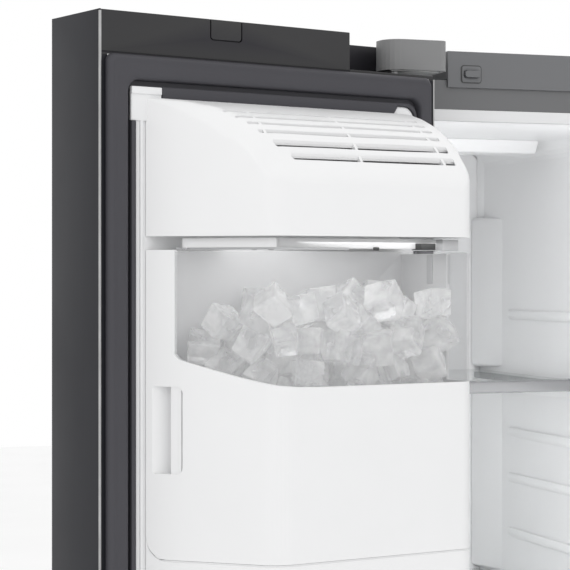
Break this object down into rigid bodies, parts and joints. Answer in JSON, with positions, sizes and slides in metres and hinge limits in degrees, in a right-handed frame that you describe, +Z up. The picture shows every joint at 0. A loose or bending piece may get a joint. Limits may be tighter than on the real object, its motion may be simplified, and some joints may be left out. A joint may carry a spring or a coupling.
{
  "type": "side by side refrigerator",
  "caption": "Side by side refrigerator with open freezer and fridge doors, door ice maker with a windowed ice bin, glass shelves, drawers, door bins and a dispenser.",
  "frame": {"origin": "centre of the underside of the front left levelling foot, on the floor", "axes": "+Z up, -Y out of the front, +X towards the right-hand, fridge, side"},
  "size_m": [1.5722, 1.1236, 1.783],
  "materials": {
    "case_steel": "satin",
    "steel_plate": "satin",
    "foam": "matte",
    "liner_white": "satin",
    "cap_grey": "satin",
    "hinge_grey": "satin",
    "frame_steel": "matte",
    "dark_plastic": "matte",
    "fin_metal": "satin",
    "black_metal": "satin",
    "door_steel": "satin",
    "door_cap": "satin",
    "gasket": "matte",
    "shelf_glass": "gloss",
    "trim_plastic": "satin",
    "clear_plastic": "gloss",
    "window_plastic": "gloss",
    "display_glass": "gloss",
    "rubber": "matte",
    "cast_metal": "matte",
    "ice_white": "gloss",
    "machine_board": "satin",
    "valve_plastic": "satin"
  },
  "bodies": {
    "cabinet": {"outer_case": "case_steel", "rear_panel": "steel_plate", "cabinet_foam": "foam", "freezer_liner": "liner_white", "fridge_liner": "liner_white", "top_cap_strip": "cap_grey", "hinge_covers": "hinge_grey", "upper_hinges": "steel_plate", "lower_hinges": "frame_steel", "base_frame": "frame_steel", "kick_grille": "dark_plastic", "machine_cover": "machine_board", "compressor": "black_metal", "condenser": "black_metal", "fan_shroud": "dark_plastic", "evaporator": "fin_metal", "evaporator_cover": "liner_white", "air_tower": "liner_white", "lamp_covers": "ice_white", "shelf_glass": "shelf_glass", "shelf_trims": "trim_plastic", "power_inlet": "dark_plastic", "water_valve": "valve_plastic"},
    "freezer_door": {"freezer_door_skin": "door_steel", "freezer_door_foam": "foam", "freezer_door_caps": "door_cap", "freezer_door_liner": "liner_white", "freezer_door_gasket": "gasket", "freezer_door_handle": "door_cap", "freezer_door_bins": "clear_plastic", "dispenser_housing": "dark_plastic", "dispenser_display": "display_glass", "ice_maker_hood": "ice_white", "ice_maker": "cast_metal", "ice_bin_base": "ice_white"},
    "fridge_door": {"fridge_door_skin": "door_steel", "fridge_door_foam": "foam", "fridge_door_caps": "door_cap", "fridge_door_liner": "liner_white", "fridge_door_gasket": "gasket", "fridge_door_handle": "door_cap", "fridge_door_bins": "clear_plastic"},
    "ice_bin_assembly": {"ice_bin": "ice_white", "ice_bin_window": "window_plastic"},
    "auger": {"ice_auger": "cast_metal"},
    "ejector": {"ice_ejector": "cast_metal"},
    "paddle": {"dispenser_paddle": "cap_grey"},
    "dairy_lid": {"dairy_lid": "clear_plastic"},
    "left_switch_button": {"left_switch_button": "cap_grey"},
    "right_switch_button": {"right_switch_button": "cap_grey"},
    "freezer_basket_upper": {"freezer_basket_upper": "clear_plastic"},
    "freezer_basket_lower": {"freezer_basket_lower": "clear_plastic"},
    "crisper_upper": {"crisper_upper": "clear_plastic"},
    "crisper_lower": {"crisper_lower": "clear_plastic"},
    "evaporator_fan": {"evaporator_fan": "trim_plastic"},
    "condenser_fan": {"condenser_fan": "dark_plastic"},
    "left_roller": {"left_roller": "rubber"},
    "right_roller": {"right_roller": "rubber"},
    "left_foot": {"left_foot": "rubber"},
    "right_foot": {"right_foot": "rubber"}
  },
  "joints": [
    {"name": "freezer_door_swing", "type": "hinge", "parent": "cabinet", "child": "freezer_door", "pos_m": [-0.026, -0.118, 0], "axis": [0, 0, -1], "range_deg": [-163.3, 1.5]},
    {"name": "fridge_door_swing", "type": "hinge", "parent": "cabinet", "child": "fridge_door", "pos_m": [0.849, -0.118, 0], "axis": [0, 0, 1], "range_deg": [-125, 39]},
    {"name": "ice_bin_pull", "type": "slide", "parent": "freezer_door", "child": "ice_bin_assembly", "axis": [0.2874, -0.9578, 0], "range_m": [0, 0.14]},
    {"name": "auger_turn", "type": "hinge", "parent": "ice_bin_assembly", "child": "auger", "pos_m": [-0.16986, -0.27183, 1.3], "axis": [0, 0, 1], "continuous": true},
    {"name": "ejector_turn", "type": "hinge", "parent": "freezer_door", "child": "ejector", "pos_m": [-0.11948, -0.2588, 1.612], "axis": [-0.9578, -0.2874, 0], "continuous": true},
    {"name": "paddle_push", "type": "hinge", "parent": "freezer_door", "child": "paddle", "pos_m": [-0.20262, -0.16264, 1.172], "axis": [-0.9578, -0.2874, 0], "range_deg": [0, 8], "stiffness_Nm_per_rad": 0.25, "springref_deg": -5.73},
    {"name": "dairy_lid_lift", "type": "hinge", "parent": "fridge_door", "child": "dairy_lid", "pos_m": [0.90179, -0.36425, 1.588], "axis": [-0.5736, 0.8192, 0], "range_deg": [0, 70]},
    {"name": "left_switch_press", "type": "slide", "parent": "cabinet", "child": "left_switch_button", "axis": [0, 1, 0], "range_m": [0, 0.005], "stiffness_N_per_m": 60, "springref_m": -0.004},
    {"name": "right_switch_press", "type": "slide", "parent": "cabinet", "child": "right_switch_button", "axis": [0, 1, 0], "range_m": [0, 0.005], "stiffness_N_per_m": 60, "springref_m": -0.004},
    {"name": "freezer_basket_upper_slide", "type": "slide", "parent": "cabinet", "child": "freezer_basket_upper", "axis": [0, -1, 0], "range_m": [0, 0.25]},
    {"name": "freezer_basket_lower_slide", "type": "slide", "parent": "cabinet", "child": "freezer_basket_lower", "axis": [0, -1, 0], "range_m": [0, 0.2]},
    {"name": "crisper_upper_slide", "type": "slide", "parent": "cabinet", "child": "crisper_upper", "axis": [0, -1, 0], "range_m": [0, 0.19]},
    {"name": "crisper_lower_slide", "type": "slide", "parent": "cabinet", "child": "crisper_lower", "axis": [0, -1, 0], "range_m": [0, 0.2]},
    {"name": "evaporator_fan_spin", "type": "hinge", "parent": "cabinet", "child": "evaporator_fan", "pos_m": [0.16, 0.443, 1.3], "axis": [0, 1, 0], "continuous": true},
    {"name": "condenser_fan_spin", "type": "hinge", "parent": "cabinet", "child": "condenser_fan", "pos_m": [0.315, 0.462, 0.136], "axis": [1, 0, 0], "continuous": true},
    {"name": "left_roller_turn", "type": "hinge", "parent": "cabinet", "child": "left_roller", "pos_m": [-0.005, 0.5, 0.02], "axis": [1, 0, 0], "continuous": true},
    {"name": "right_roller_turn", "type": "hinge", "parent": "cabinet", "child": "right_roller", "pos_m": [0.828, 0.5, 0.02], "axis": [1, 0, 0], "continuous": true},
    {"name": "left_foot_turn", "type": "hinge", "parent": "cabinet", "child": "left_foot", "pos_m": [0, 0, 0], "axis": [0, 0, 1], "continuous": true},
    {"name": "right_foot_turn", "type": "hinge", "parent": "cabinet", "child": "right_foot", "pos_m": [0.823, 0, 0], "axis": [0, 0, 1], "continuous": true}
  ]
}
